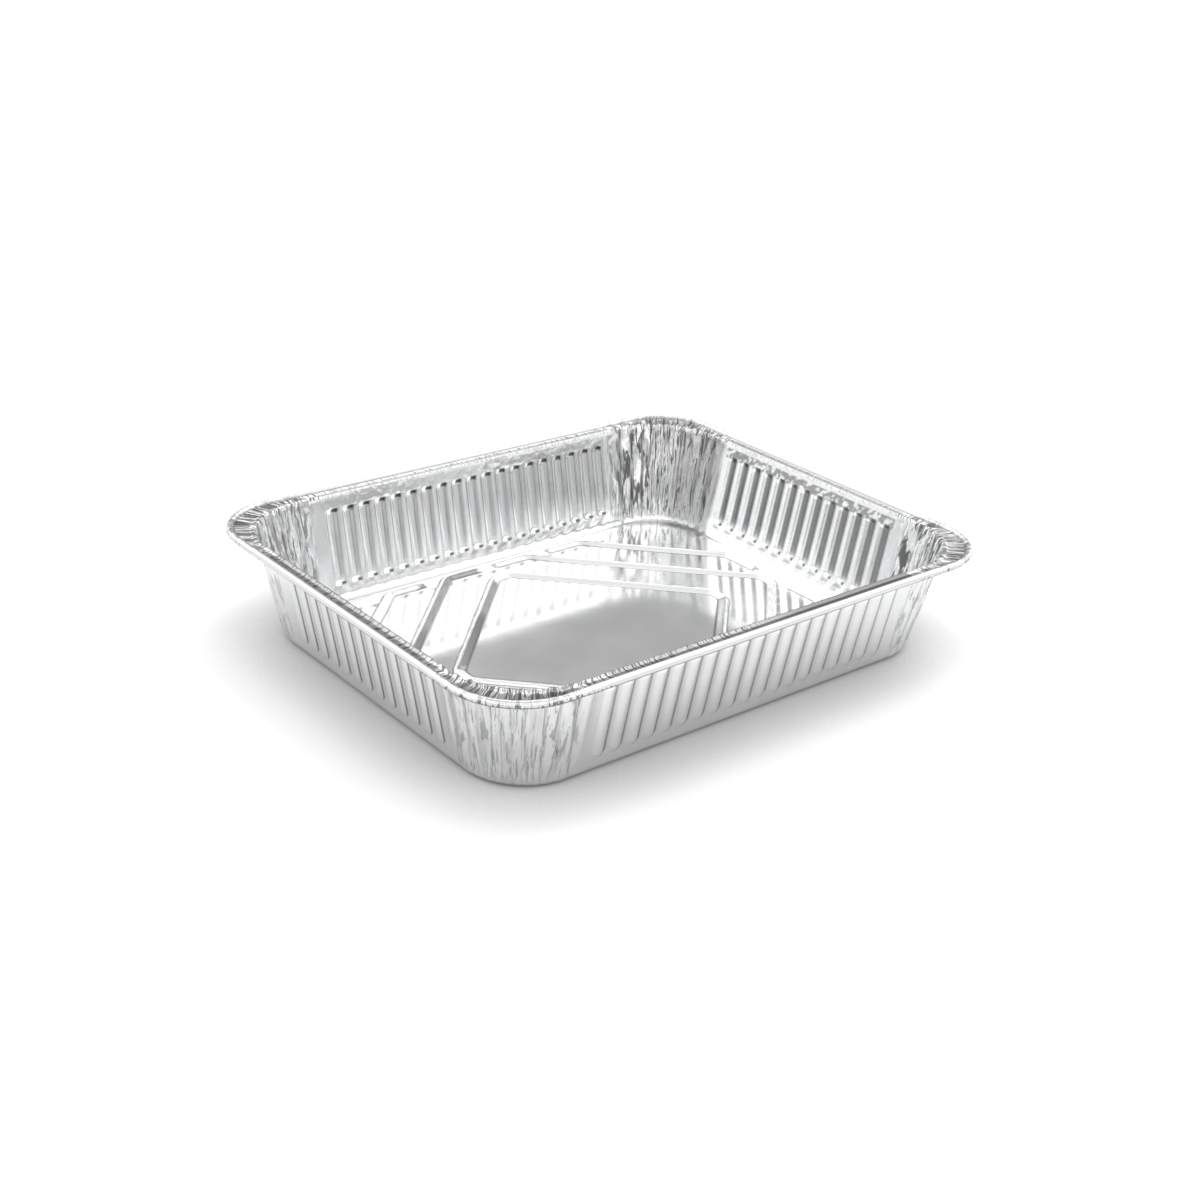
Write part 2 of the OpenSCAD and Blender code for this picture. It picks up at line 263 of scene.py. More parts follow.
def crease(x, y, seed):
    """Small sharp folds, about -1 to 1, x across them and y along them."""
    w = noise.noise(Vector((x * 0.5, y * 1.3, seed + 11.7))) * 0.9
    return 0.65 * ridged(x + w, y, seed) + 0.35 * ridged(2.1 * x - w, 2.3 * y, seed + 3.1)


def corner_point(q, c, u):
    """Point at row u and column c of corner q, clockwise from above."""
    inset, z = profile(u)
    r = corner_radius(u)
    hx, hy = LENGTH / 2 - inset, WIDTH / 2 - inset
    cc = c if q % 2 == 0 else COLS - c
    i, f = divmod(cc, SUB)
    f /= SUB
    if i == NSEG:
        i, f = NSEG - 1, 1.0
    way = (hx - r - START_X) + r * math.pi / 2 + (hy - r - START_Y)
    at = mix(between_rows(fold_at, i, u), between_rows(fold_at, i + 1, u), f)
    p, n = on_corner(at * way, hx, hy, r)
    d = mix(between_rows(fold_out, i, u), between_rows(fold_out, i + 1, u), f)
    if u < 12:
        j = int(u)
        deep = (0.5 if u < 8 else 0.42) * mix(SHARE[j], SHARE[j + 1], u - j)
        run = z / 15 if u < 8 else 3.9 + (u - 8) * 0.12
        edge = smooth(min(cc, COLS - cc) / (1.5 * SUB))
        d += deep * edge * crease(at * CORNER_WAY / 2.9, run, q * 5 + 1)
    nx, nz = out_direction(u)
    sx, sy = CORNER_SIGNS[q]
    z = profile(u, fall_toward(sx * n[0], sy * n[1]))[1]
    return (sx * (p[0] + n[0] * nx * d), sy * (p[1] + n[1] * nx * d), z + nz * d)


def flute_place(t, w):
    """Flute of wall w nearest to t: distance from its middle line, and its two ends."""
    k = round(t / PITCH)
    if abs(k) > COUNTS[w]:
        return None
    top = Z_TOP + 0.5 * (scatter(k + 60, 90 + w) - 0.5)
    foot = Z_FOOT + 0.5 * (scatter(k + 60, 95 + w) - 0.5)
    return t - k * PITCH, foot, top


def flute(t, z, w):
    """How far a flute stands out at t along wall w and height z."""
    here = flute_place(t, w)
    if here is None:
        return 0.0
    x, foot, top = here
    a = FLUTE_WIDTH / 2
    along = min(max(z, foot + a), top - a)
    return FLUTE_DEPTH * max(0.0, 1 - (x * x + (z - along) ** 2) / (a * a))


def flute_shade(t, z, w):
    """Painted shade in a flute and in the dark hollows at its two ends, seen from inside the pan."""
    here = flute_place(t, w)
    if here is None:
        return 0.0
    x, foot, top = here
    low, high, depth = FLUTE_SHADE_BANDS[w]
    x -= PITCH * round((x - (low + high) / 2) / PITCH)
    band = smooth((x - low) / 0.9) * smooth((high - x) / 0.9)
    band *= smooth((z - foot) / 7) * smooth((top + 0.5 - z) / 1.5) * depth
    x -= (low + high) / 2
    # painted shade: a dark cap in the top end of the flute, a dark touch at its foot
    cap = smooth((2.5 - abs(x)) / 0.8) * smooth((z - top + 2.9) / 0.8) * smooth((top + 0.1 - z) / 0.5)
    toe = smooth((1.5 - abs(x)) / 0.6) * smooth((z - foot + 0.2) / 0.6) * smooth((foot + 1.9 - z) / 0.6)
    return max(band, 1.25 * cap, 1.15 * toe)


def crumple(w, t):
    """How much the strip over the flutes is crumpled, by place."""
    n = noise.noise(Vector((t / 26 + 31.7 * w, 2.2, 8.8)))
    return 0.10 + 0.26 * smooth(n * 1.4 + (0.35 if w == 0 else 0.1))


def wall_offset(w, t, u, z):
    """How far the sheet stands out of the smooth wall w: flutes, folds and dents."""
    d = 0.0
    if 2.4 < u < 7:
        d += flute(t, z, w)
    ph = 31.7 * w
    # the strip under the flutes fans out in shallow scallops
    low = smooth((z - 1.5) / 3) * smooth((11.0 - z) / 4) if u < 4 else 0
    if low:
        d += 0.16 * low * math.cos(2 * math.pi * (t + 0.01 * t * (Z_FOOT - z)) / PITCH)
        d += 0.12 * low * crease(t / 3.5 + ph, z / 5, 3 + w)
    if 5 < u < 8.6:
        high = smooth((z - 49.5) / 2.5) * (1 - smooth((u - 7.6) / 1.0))
        d += crumple(w, t) * high * crease(t / 4.0 + ph, z / 5.0, 13 + w)
    # slow unevenness of thin metal
    if u < 8:
        up = smooth(z / 8)
        d += 0.06 * up * noise.noise(Vector((t / 17 + ph, z / 30, 5.5)))
        d += 0.015 * up * noise.noise(Vector((t / 4 + ph, z / 9, 9.5)))
    return d


def wall_point(w, t, u):
    """Point at row u and at t along wall w."""
    inset, z = profile(u)
    hx, hy = LENGTH / 2 - inset, WIDTH / 2 - inset
    d = wall_offset(w, t, u, z) * smooth((HALVES[w] - abs(t)) / 2.0)
    if 9.2 < u < 12:
        d += 0.05 * noise.noise(Vector((t / 2.2, u, 3.3 + w)))
    nx, nz = out_direction(u)
    z = profile(u, fall_toward(*WALL_NORMALS[w]))[1]
    o, z = d * nx, z + d * nz
    return [(hx + o, -t, z), (-t, -hy - o, z), (-hx - o, t, z), (t, hy + o, z)][w]


def flute_columns(count):
    """Places of the columns along a wall with count flutes on either side of its middle."""
    cols = []
    for k in range(-count, count + 1):
        cols += [k * PITCH + o for o in FLUTE_OFFSETS]
        if k < count:
            cols.append((k + 0.5) * PITCH)
    e = count * PITCH + WALL_END
    return [-e] + cols + [e]


def bead_lines():
    """Middle lines of the beads, each with whether it is closed, as in the solid."""
    far_x, far_y = FOOT_X - BEAD_MARGIN - 2, FOOT_Y - BEAD_MARGIN
    soft, gap = 5.0, 6.0
    diamond = DIAMOND_SHARE * far_y
    mid = far_x
    step = mid - diamond
    outer, turned = mid + step, min(23.0, step - 16)
    c, r = soft, diamond
    lines = [([(c, r - c), (r - c, c), (r - c, -c), (c, c - r), (-c, c - r), (c - r, -c), (c - r, c),
               (-c, r - c)], True)]
    for sx in (-1, 1):
        lines.append(([(sx * gap, far_y), (sx * (mid - far_y), far_y), (sx * (mid - soft), soft),
                       (sx * (mid - soft), -soft), (sx * (mid - far_y), -far_y), (sx * gap, -far_y)], False))
        for sy in (-1, 1):
            lines.append(([(sx * (outer - far_y - turned), sy * far_y), (sx * (outer - far_y), sy * far_y),
                           (sx * far_x, sy * (outer - far_x)), (sx * far_x, sy * (outer - far_x - turned))],
                          False))
    return lines


def rounded(pts, closed, r=4.0, n=4):
    """The same line with its bends rounded off."""
    out = []
    m = len(pts)
    for k, p in enumerate(pts):
        p = Vector(p)
        if not closed and k in (0, m - 1):
            out.append(p)
            continue
        a, b = Vector(pts[k - 1]) - p, Vector(pts[(k + 1) % m]) - p
        ra, rb = min(r, a.length * 0.48), min(r, b.length * 0.48)
        a, b = p + a.normalized() * ra, p + b.normalized() * rb
        for i in range(n + 1):
            f = i / n
            out.append(a * (1 - f) ** 2 + p * 2 * f * (1 - f) + b * f ** 2)
    return out


def resampled(pts, closed, step=2.2):
    """Points about step apart along a line, with the unit normal at each."""
    if closed:
        pts = pts + [pts[0]]
    out = []
    for a, b in zip(pts, pts[1:]):
        n = max(1, round((b - a).length / step))
        out += [a + (b - a) * (i / n) for i in range(n)]
    if not closed:
        out.append(pts[-1])
    m = len(out)
    res = []
    for k, p in enumerate(out):
        a = out[k - 1] if (k or closed) else p
        b = out[(k + 1) % m] if (k < m - 1 or closed) else p
        d = (b - a).normalized()
        res.append((p, Vector((-d.y, d.x))))
    return res


def bead_height(s):
    """Height of the floor at distance s from the middle line of a bead, outward positive."""
    half = BEAD_WIDTH / 2
    f = min((s + half + 0.1) / 4.4, (half - s) / 1.5)
    f = min(1.0, max(0.0, f))
    return BEAD_HEIGHT * (0.35 * smooth(f) + 0.65 * f)


def bead_line_shade(p, s):
    """Painted shade: thin dark lines at the two feet of a bead, and a darker inner slope on the side -x +y.
    """
    feet = 0.9 * smooth(1 - abs(s - 3.2) / 0.8) + 0.85 * smooth(1 - abs(s + 3.2) / 0.9)
    left = p[0] < -8 and p[1] > 8 and p[1] - p[0] < 148
    slope = smooth((s + 3.2) / 0.5) * smooth((0.9 - s) / 0.5) if left else 0.0
    return max(feet, 0.85 * slope)


def bead_dot(p, s):
    """Small dark touches along the outer foot of the ribs that face -x +y."""
    if p[0] > -8 or p[1] < 8:
        return 0.0
    along = (p[0] + p[1]) / math.sqrt(2)
    near = abs((along - 10.5) / 20.7 - round((along - 10.5) / 20.7)) * 20.7
    return 0.9 * smooth((2.6 - near) / 1.0) * smooth((0.8 - abs(s - 3.1)) / 0.4)


class BeadField:
    """Signed distance from the middle lines of the beads, outward positive."""

    def __init__(self, lines):
        starts, ends, tips = [], [], []
        for pts, closed in lines:
            xy = [np.array(tuple(p)) for p, _ in pts]
            pairs = list(zip(xy, xy[1:])) + ([(xy[-1], xy[0])] if closed else [])
            for k, (a, b) in enumerate(pairs):
                starts.append(a)
                ends.append(b)
                tips.append((not closed and k == 0, not closed and k == len(pairs) - 1))
        self.starts, self.ends, self.tips = np.array(starts), np.array(ends), tips
        self.runs = self.ends - self.starts
        self.sizes = (self.runs ** 2).sum(1)
        self.normals = np.stack([-self.runs[:, 1], self.runs[:, 0]], 1) / np.sqrt(self.sizes)[:, None]
        middle = (self.starts + self.ends) / 2
        self.normals *= np.sign((self.normals * middle).sum(1))[:, None]

    def at(self, p):
        """Distance, signed distance and how far past a free end the point p lies."""
        f = np.clip(((p - self.starts) * self.runs).sum(1) / self.sizes, 0, 1)
        away = p - (self.starts + self.runs * f[:, None])
        d = np.sqrt((away ** 2).sum(1))
        k = int(d.argmin())
        side = float(away[k] @ self.normals[k])
        if (self.tips[k][0] and f[k] == 0) or (self.tips[k][1] and f[k] == 1):
            return float(d[k]), side, math.sqrt(max(0.0, float(d[k]) ** 2 - side ** 2))
        return float(d[k]), math.copysign(float(d[k]), side), 0.0


class FloorPoints:
    """Points of the floor in plan: the ring round it, then its own."""

    def __init__(self, ring, field):
        self.points = [Vector(p) for p in ring]
        self.field = field
        self.taken = set()

    def add(self, p, own=None):
        """Add p, unless one is there, or another bead is nearer than its own, at distance own."""
        key = (round(p.x / 0.3), round(p.y / 0.3))
        if key in self.taken or (own is not None and abs(self.field.at(np.array(p))[0] - own) > 0.12):
            return
        self.taken.add(key)
        self.points.append(p)

    def add_bead(self, pts, closed):
        """Points beside a bead's middle line, and round its free ends."""
        for p, n in pts:
            n = n * math.copysign(1, n.dot(p))
            for o in BEAD_OFFSETS:
                self.add(p + n * o, abs(o))
        if closed:
            return
        for end, other in ((pts[0], pts[1]), (pts[-1], pts[-2])):
            d = (end[0] - other[0]).normalized()
            n = Vector((-d.y, d.x))
            for o in (-3.6, -2.6, -1.5, 0, 1.5, 2.6, 3.6):
                for e in (0.8, 1.6, 2.4, 3.2):
                    self.add(end[0] + d * e + n * o)

    def add_grid(self):
        """A wide grid of points between the beads."""
        hx, hy = LENGTH / 2 - FOOT_INSET - REACH, WIDTH / 2 - FOOT_INSET - REACH
        r = FOOT_RADIUS - REACH
        for x in np.arange(-hx, hx + 1, FLOOR_GRID):
            for y in np.arange(-hy, hy + 1, FLOOR_GRID):
                cx, cy = max(0, abs(x) - hx + r), max(0, abs(y) - hy + r)
                if math.hypot(cx, cy) > r - 4 or abs(x) > hx - 4 or abs(y) > hy - 4:
                    continue
                if self.field.at(np.array((x, y)))[0] > 7:
                    self.add(Vector((x, y)))


def floor_mesh(ring):
    """Floor inside the ring of points, ring first: vertices, faces, origins, heights and shades."""
    lines = [(resampled(rounded(p, c), c), c) for p, c in bead_lines()]
    field = BeadField(lines)
    plan = FloorPoints(ring, field)
    for pts, closed in lines:
        plan.add_bead(pts, closed)
    plan.add_grid()
    m = len(ring)
    verts, _, faces, orig, _, _ = delaunay_2d_cdt(plan.points, [], [list(range(m))], 1, 1e-5)
    heights, shades = [], []
    for v, o in zip(verts, orig):
        if any(k < m for k in o):
            heights.append(0.0)
            shades.append(0.0)
            continue
        _, side, past = field.at(np.array(v))
        fade = 1 - smooth(past / 2.6)
        heights.append(bead_height(side) * fade)
        shades.append(max(bead_line_shade(v, side), bead_dot(v, side)) * fade)
    return verts, faces, orig, heights, shades


def sheet_columns():
    """Every column round the pan: (kind, wall or corner, place along it)."""
    cols = []
    for q in range(4):
        cols += [("corner", q, c) for c in range(COLS + 1)]
        cols += [("wall", q, t) for t in flute_columns(COUNTS[q])]
    return cols


def places_along(cols):
    """Length round the pan of every column, for the fine folds."""
    along, base = [], 0.0
    for kind, q, c in cols:
        if kind == "corner":
            along.append(base + CORNER_WAY * c / COLS)
            if c == COLS:
                base += CORNER_WAY
        else:
            along.append(base + HALVES[q] + c)
            if c == COUNTS[q] * PITCH + WALL_END:
                base += 2 * HALVES[q]
    return along


def rim_marks(kind, q, c):
    """How much painted shade darkens the flat of the rim and how strongly it is cross marked, by place."""
    if kind == "corner":
        return CORNER_FLAT_PAINTED_SHADE, CORNER_MARKS[q]
    dull, marks = FLAT_SHADE_AND_CROSS_MARKS[q]
    # on the wall -y the right part of the flat gets nearly full painted shade
    if q == 1:
        right = 1 - smooth((c + 30) / 50)
        return mix(dull, 0.95, right), marks * (1 - 0.6 * right)
    return dull, marks


def rim_shade(u, kind, q, c):
    """Painted shade of the rim: under the roll, along the flat and at its two edges."""
    # painted shade under the roll, along the flat, and in the creases at its edges
    under = 0.4 * smooth((u - 13.9) / 0.4) + 0.5 * smooth((u - 15.5) / 0.4)
    flat = smooth((u - 7.9) / 0.5) * (1 - smooth((u - 11.5) / 0.3)) * rim_marks(kind, q, c)[0]
    edge = 0.75 * smooth((u - 11.1) / 0.2) * (1 - smooth((u - 11.8) / 0.25))
    if kind == "wall" and q in (0, 3):
        edge = max(edge, 0.7 * smooth((u - 8.3) / 0.2) * (1 - smooth((u - 8.9) / 0.2)))
    return max(under, flat, edge)


def strip_shade(t, z, w):
    """Painted shade: dark patches between the flutes and the rim, and dark scallops at the foot of the wall.
    """
    high = smooth((z - 48.6) / 1.2) * smooth((56.5 - z) / 1.0)
    low = smooth((z - 0.8) / 1.5) * smooth((9.0 - z) / 2.5)
    if high:
        patch = smooth((crease(t / 3.4 + 9 * w, z / 3.6, 21 + w) - 0.2) / 0.35)
        return high * STRIP_PAINTED_SHADE[w] * patch
    return low * SCALLOP_PAINTED_SHADE[w] * smooth(0.5 + 0.8 * math.cos(2 * math.pi * (t + 1.5) / PITCH))


def line_side(kind, q, c, u):
    """Weight of the painted shade line round a flute outside: strong on one side only, the side that shade
    falls on.
    """
    here = flute_place(c, q) if kind == "wall" and u <= 7.5 else None
    if here is None:
        return 0.5
    return 0.06 + 1.15 * smooth((0.6 - here[0]) / 1.8)


def corner_masks(q, c, u):
    """How strongly a corner is creased, which sets its painted shade in fine folds and patches, and how much
    painted shade darkens it on the side +x at the back.
    """
    creased = smooth(min(c, COLS - c) / SUB / 2.5) * CORNER_CREASES[q] * smooth((u - 0.8) / 2.4)
    if 11.9 < u < 14.6:
        creased *= 0.4
    if q > 0 or u >= 7.5:
        return creased, 0.0
    return creased, 0.6 * smooth((c - 52) / 30) * smooth((COLS - c) / 4)


def cross_marks(kind, q, c, u):
    """Strength of the cross marks on the flat of the rim, and of the nicks in a corner's roll: each a small
    relief and a dark stroke of painted shade.
    """
    on_rim = smooth((u - 7.5) / 0.6) * (1 - smooth((u - 11.4) / 0.6))
    marks = on_rim * rim_marks(kind, q, c)[1]
    if kind == "wall":
        return marks
    return max(marks, smooth((u - 14.9) / 0.4) * (1 - smooth((u - 16.5) / 0.5)))


class Points:
    """Points of the sheet in mm, and what each one carries."""

    def __init__(self):
        self.verts, self.places, self.marks, self.shades, self.sides = [], [], [], [], []

    def add(self, vert, shade, place=(0.0, 0.0), marks=(0.0, 0.0)):
        """One point, its painted shade inside, its place on the flat sheet, how creased and cross marked."""
        self.verts.append(vert)
        self.shades.append(shade)
        self.places.append(place)
        self.marks.append(marks)

    def add_grid(self, cols):
        """The rows of points from the floor's edge to the free edge of the roll."""
        along = places_along(cols)
        down, last = 0.0, profile(0)
        for u in ROWS:
            here = profile(u)
            down += math.hypot(here[0] - last[0], here[1] - last[1])
            last = here
            for (kind, q, c), s in zip(cols, along):
                shade, creased = rim_shade(u, kind, q, c), 0.0
                if kind == "corner":
                    vert = corner_point(q, c, u)
                    creased, dull = corner_masks(q, c, u)
                    # painted shade of the corner joins that of the rim
                    shade = max(shade, dull)
                else:
                    vert = wall_point(q, c, u)
                    if 2.4 < u < 7:
                        # painted shade of the flutes, the strip above them and the scallops below
                        shade = max(flute_shade(c, here[1], q), strip_shade(c, here[1], q))
                self.add(vert, shade, (s, down + 3.0), (creased, cross_marks(kind, q, c, u)))
                self.sides.append(line_side(kind, q, c, u))

    def add_floor(self, n):
        """The floor inside the first n points. Returns its faces."""
        verts, faces, orig, heights, shades = floor_mesh([v[:2] for v in self.verts[:n]])
        index = []
        for v, o, h, d in zip(verts, orig, heights, shades):
            own = [i for i in o if i < n]
            index.append(own[0] if own else len(self.verts))
            if not own:
                self.add((v.x, v.y, FLOOR_Z + h), d)
        faces = [tuple(index[k] for k in f) for f in faces]
        return [f for f in faces if len(set(f)) == len(f)]

    def face_shades(self, verts, normals, n):
        """Shade of the inner and of the outer face, n columns wide: painted shade in the creases of the
        grid, and the outer face darker all over.
        """
        size = len(ROWS) * n
        grid = verts[:size].reshape(-1, n, 3)
        bend = hollows(grid, normals[:size].reshape(-1, n, 3))
        inner, outer = np.array(self.shades), np.full(len(verts), OUTSIDE_DARKENING)
        # painted shade in the hollows of the inner face
        inner[:size] = np.maximum(inner[:size], 0.75 * crease_mask(bend, grid).ravel())
        # painted shade in the hollows of the outer face, strong on one side of each flute only
        outer[:size] = np.maximum(OUTSIDE_DARKENING, crease_mask(-bend, grid).ravel() * np.array(self.sides))
        return inner, outer


def point_normals(verts, faces):
    """Area weighted unit normal of every vertex."""
    normals = np.zeros_like(verts)
    for size in (3, 4):
        f = np.array([g for g in faces if len(g) == size])
        if not len(f):
            continue
        a, b = (0, 1) if size == 3 else (0, 2)
        c, d = (0, 2) if size == 3 else (1, 3)
        n = np.cross(verts[f[:, b]] - verts[f[:, a]], verts[f[:, d]] - verts[f[:, c]])
        for k in range(size):
            np.add.at(normals, f[:, k], n)
    return normals / np.linalg.norm(normals, axis=1)[:, None]


def bend_between(p, before, after, n):
    """Curvature toward the normals n at the points p, per mm."""
    h0 = np.linalg.norm(before - p, axis=-1) + 1e-9
    h1 = np.linalg.norm(after - p, axis=-1) + 1e-9
    d = (before - p) / h0[..., None] + (after - p) / h1[..., None]
    return 2 * (d * n).sum(-1) / (h0 + h1)


def hollows(grid, normals):
    """Curvature of a grid of points toward its normals, per mm, round the pan and up the wall."""
    across = bend_between(grid, np.roll(grid, 1, 1), np.roll(grid, -1, 1), normals)
    up = np.zeros_like(across)
    last = max(k for k, u in enumerate(ROWS) if u < 7.5)
    first = min(k for k, u in enumerate(ROWS) if u > 2.5)
    up[first:last] = bend_between(grid, np.roll(grid, 1, 0), np.roll(grid, -1, 0), normals)[first:last]
    return across + 0.5 * up


def crease_mask(bend, grid):
    """0 to 1 in creases, spread over about a millimetre."""
    mask = np.clip((bend - 0.3) / 0.9, 0, 1)
    near = np.clip(1 - np.linalg.norm(np.roll(grid, -1, 1) - grid, axis=-1) / 0.8, 0, 1)
    right = np.roll(mask, -1, 1) * near
    left = np.roll(mask * near, 1, 1)
    return np.maximum(mask, np.maximum(left, right))


def make_piece(name, verts, normals, faces, layers):
    """One piece of a skin, in mm, with its own vertices only."""
    used = np.unique(np.concatenate([np.array(f) for f in faces]))
    index = np.full(len(verts), -1)
    index[used] = np.arange(len(used))
    mesh = bpy.data.meshes.new(name)
    mesh.from_pydata((verts[used] * MM).tolist(), [], [tuple(int(i) for i in index[list(f)]) for f in faces])
    loops = np.zeros(len(mesh.loops), np.int32)
    mesh.loops.foreach_get("vertex_index", loops)
    for layer_name, data in layers:
        layer = mesh.uv_layers.new(name=layer_name)
        layer.data.foreach_set("uv", data[used][loops].astype(np.float32).ravel())
    mesh.polygons.foreach_set("use_smooth", [True] * len(mesh.polygons))
    mesh.normals_split_custom_set_from_vertices(normals[used].tolist())
    mesh.update()
    obj = bpy.data.objects.new(name, mesh)
    bpy.context.scene.collection.objects.link(obj)
    return obj


def make_sheet():
    """The two faces of the foil, each as a wall piece and a floor piece."""
    cols = sheet_columns()
    n, rows = len(cols), len(ROWS)
    points = Points()
    points.add_grid(cols)
    walls = [(j * n + k, j * n + (k + 1) % n, (j + 1) * n + (k + 1) % n, (j + 1) * n + k)
             for j in range(rows - 1) for k in range(n)]
    floor = points.add_floor(n)
    verts = np.array(points.verts)
    normals = point_normals(verts, walls + floor)
    on_floor = np.arange(len(verts)) >= rows * n
    inner, outer = points.face_shades(verts, normals, n)
    made = []
    for side, sign, shade, creases in (("inside", 1, inner, 1), ("outside", -1, outer, OUTSIDE_CREASES)):
        layers = [("sheet", np.array(points.places) * MM), ("zone", np.array(points.marks) * (creases, 1)),
                  ("marks", np.stack([shade, on_floor], 1))]
        for part, faces in (("wall", walls), ("floor", floor)):
            turned = faces if sign == 1 else [f[::-1] for f in faces]
            made.append(make_piece("foil_" + part + "_" + side, verts + normals * (sign * FOIL / 2),
                                   normals * sign, turned, layers))
    return made


class Nodes:
    """Small helper to wire a node tree."""

    def __init__(self, tree):
        self.tree = tree
        tree.nodes.clear()

    def add(self, kind, **settings):
        """A node, with its inputs or else its properties set."""
        node = self.tree.nodes.new(kind)
        for key, value in settings.items():
            if key in node.inputs:
                node.inputs[key].default_value = value
            else:
                setattr(node, key, value)
        return node

    def link(self, a, b):
        """Wire output a to input b."""
        self.tree.links.new(a, b)

    def math(self, operation, *values):
        """A sum of outputs and numbers."""
        node = self.tree.nodes.new("ShaderNodeMath")
        node.operation = operation
        for k, x in enumerate(values):
            if hasattr(x, "is_output"):
                self.link(x, node.inputs[k])
            else:
                node.inputs[k].default_value = x
        return node.outputs[0]

    def step(self, value, low, high):
        """0 below low, 1 above high."""
        node = self.tree.nodes.new("ShaderNodeMapRange")
        node.interpolation_type = "SMOOTHSTEP"
        node.inputs["From Min"].default_value = low
        node.inputs["From Max"].default_value = high
        self.link(value, node.inputs["Value"])
        return node.outputs["Result"]

    def split(self, source):
        """X and Y of a vector."""
        node = self.tree.nodes.new("ShaderNodeSeparateXYZ")
        self.link(source, node.inputs[0])
        return node.outputs["X"], node.outputs["Y"]

    def noise(self, source, scale, detail=2.0, rough=0.5, twist=0.0):
        """Noise over a vector that is first stretched by scale."""
        m = self.tree.nodes.new("ShaderNodeMapping")
        m.inputs["Scale"].default_value = scale
        self.link(source, m.inputs[0])
        t = self.tree.nodes.new("ShaderNodeTexNoise")
        t.inputs["Scale"].default_value = 1.0
        t.inputs["Detail"].default_value = detail
        t.inputs["Roughness"].default_value = rough
        t.inputs["Distortion"].default_value = twist
        self.link(m.outputs[0], t.inputs["Vector"])
        return t.outputs["Fac"]

    def ramp(self, value, *stops):
        """Colour by value, each stop a position and a colour."""
        node = self.tree.nodes.new("ShaderNodeValToRGB")
        elements = node.color_ramp.elements
        for element, (position, color) in zip(elements, stops):
            element.position, element.color = position, color + (1,)
        self.link(value, node.inputs[0])
        return node.outputs[0]


class Foil(Nodes):
    """The foil's material: bright rolled aluminium, with painted shade where it is creased or marked."""

    def __init__(self, tree):
        super().__init__(tree)
        self.object = self.add("ShaderNodeTexCoord").outputs["Object"]
        sheet = self.layer("sheet")
        self.creased, self.marked = self.split(self.layer("zone"))
        self.shade, self.on_floor = self.split(self.layer("marks"))
        self.cloud = self.noise(self.object, (30, 30, 30), 4.0)
        self.grain = self.noise(self.object, (50, 1700, 1700))
        self.hatch = self.noise(sheet, (800, 90, 1))
        self.folds = self.noise(sheet, (480, 62, 1), 3.0, 0.6, 0.7)
        self.patches = self.noise(sheet, (230, 55, 1), 2.0, 0.5, 0.5)

    def layer(self, name):
        """A UV map of the sheet."""
        return self.add("ShaderNodeUVMap", uv_map=name).outputs[0]

    def dullness(self):
        """All the painted shade: the shade each point carries, dark strokes of the rim's cross marks, and
        dark fine folds and patches of the corners.
        """
        strokes = self.math("MULTIPLY", self.step(self.hatch, 0.49, 0.56), self.marked)
        lines = self.math("MULTIPLY", self.step(self.folds, 0.52, 0.59), self.creased)
        patches = self.math("MULTIPLY", self.step(self.patches, 0.48, 0.6), self.creased)
        fine = self.math("MULTIPLY", self.math("MAXIMUM", strokes, lines), 1.1)
        wide = self.math("MULTIPLY", patches, 0.5)
        return self.math("MAXIMUM", self.math("MAXIMUM", self.shade, fine), wide)

    def colour(self):
        """Bright metal with the faintest clouding, darkened by painted shade in its creases, and painted a
        little brighter on the floor.
        """
        metal = self.ramp(self.cloud, (0.3, (0.885, 0.89, 0.895)), (0.7, (0.93, 0.935, 0.94)))
        # painted shade darkens the metal by up to three quarters
        keep = self.math("SUBTRACT", 1.0, self.math("MULTIPLY", self.dullness(), 0.75))
        # the floor of the pan is painted 6% brighter
        keep = self.math("MULTIPLY", keep, self.math("MULTIPLY_ADD", self.on_floor, 0.06, 1.0))
        tone_with_painted_shade = self.add("ShaderNodeVectorMath", operation="SCALE")
        self.link(metal, tone_with_painted_shade.inputs[0])
        self.link(keep, tone_with_painted_shade.inputs["Scale"])
        return tone_with_painted_shade.outputs[0]

    def roughness(self):
        """A soft satin with the rolling grain, smoother on the floor."""
        satin = self.math("MULTIPLY_ADD", self.cloud, 0.08, 0.08)
        satin = self.math("MULTIPLY_ADD", self.on_floor, -0.03, satin)
        return self.math("MULTIPLY_ADD", self.grain, 0.05, satin)

    def relief(self):
        """Heights in metres: grain, slow dents, fine folds of the corners, cross marks of the rim."""
        total = self.math("MULTIPLY", self.grain, 0.000002)
        ripple = self.noise(self.object, (500, 620, 500))
        total = self.math("MULTIPLY_ADD", ripple, 0.000006, total)
        dents = self.noise(self.object, (110, 110, 110))
        total = self.math("MULTIPLY_ADD", dents, 0.00002, total)
        for source, mask, height in ((self.folds, self.creased, 0.0007), (self.hatch, self.marked, 0.0002)):
            total = self.math("MULTIPLY_ADD", self.math("MULTIPLY", source, height), mask, total)
        bump = self.add("ShaderNodeBump", Strength=1.0, Distance=1.0)
        self.link(total, bump.inputs["Height"])
        return bump.outputs[0]


def foil_material():
    """The metal of every piece."""
    mat = bpy.data.materials.new("foil")
    mat.use_nodes = True
    n = Foil(mat.node_tree)
    bsdf = n.add("ShaderNodeBsdfPrincipled", Metallic=1.0)
    n.link(n.colour(), bsdf.inputs["Base Color"])
    n.link(n.roughness(), bsdf.inputs["Roughness"])
    n.link(n.relief(), bsdf.inputs["Normal"])
    n.link(bsdf.outputs[0], n.add("ShaderNodeOutputMaterial").inputs[0])
    return mat


